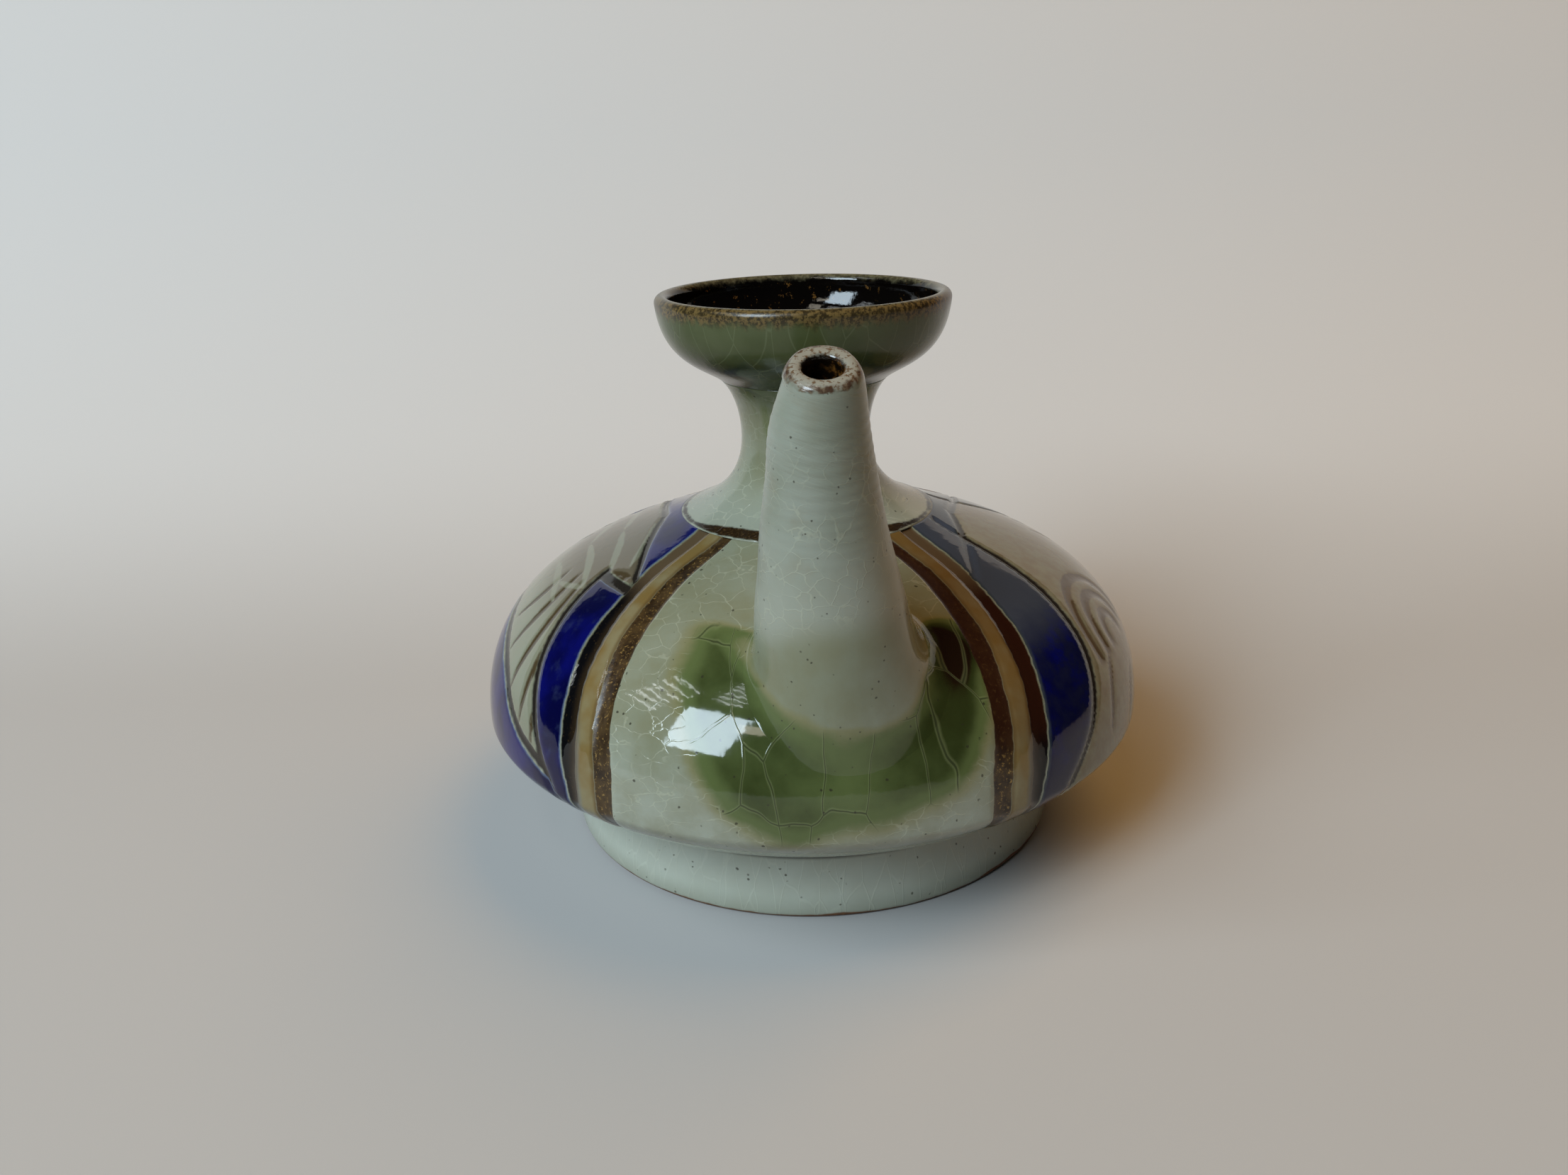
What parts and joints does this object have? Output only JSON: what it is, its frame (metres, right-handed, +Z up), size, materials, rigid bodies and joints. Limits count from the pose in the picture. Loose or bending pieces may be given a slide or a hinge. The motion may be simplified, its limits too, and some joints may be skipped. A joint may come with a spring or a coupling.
{
  "type": "spouted sake pourer",
  "caption": "Squat glazed stoneware pourer with a foot ring, a narrow neck opening into a cup, a tall tapering spout and a loose clay ball inside.",
  "frame": {"origin": "middle of the foot ring's resting face", "axes": "+Z up along the axis of the body, neck and cup; the spout stands at -Y"},
  "size_m": [0.1314, 0.1314, 0.1049],
  "materials": {
    "glaze_foot": "glossy pale grey-green ash glaze with a fine crackle, worn to bare orange-brown clay at the bottom edge",
    "glaze_body": "glossy pale grey-green ash glaze with crackle and dark specks, cut lines in iron brown, cobalt blue and amber fields, and a copper green pool under the spout",
    "glaze_cup": "glossy olive green glaze outside with a rusty speckled band under the lip, and a very dark, very glossy brown glaze inside",
    "glaze_spout": "satin cream-grey glaze with a fine pale crackle and a brown speckled lip",
    "bare_clay": "matt unglazed fired clay"
  },
  "bodies": {
    "vessel": {"foot_ring": "glaze_foot", "body_lower": "glaze_body", "body_upper": "glaze_body", "neck": "glaze_body", "mouth_cup": "glaze_cup", "spout": "glaze_spout"},
    "ball": {"rattle_ball": "bare_clay"}
  },
  "joints": [
    {"name": "ball_roll", "type": "slide", "parent": "vessel", "child": "ball", "axis": [0, -1, 0], "range_m": [-0.045, 0.045]}
  ]
}
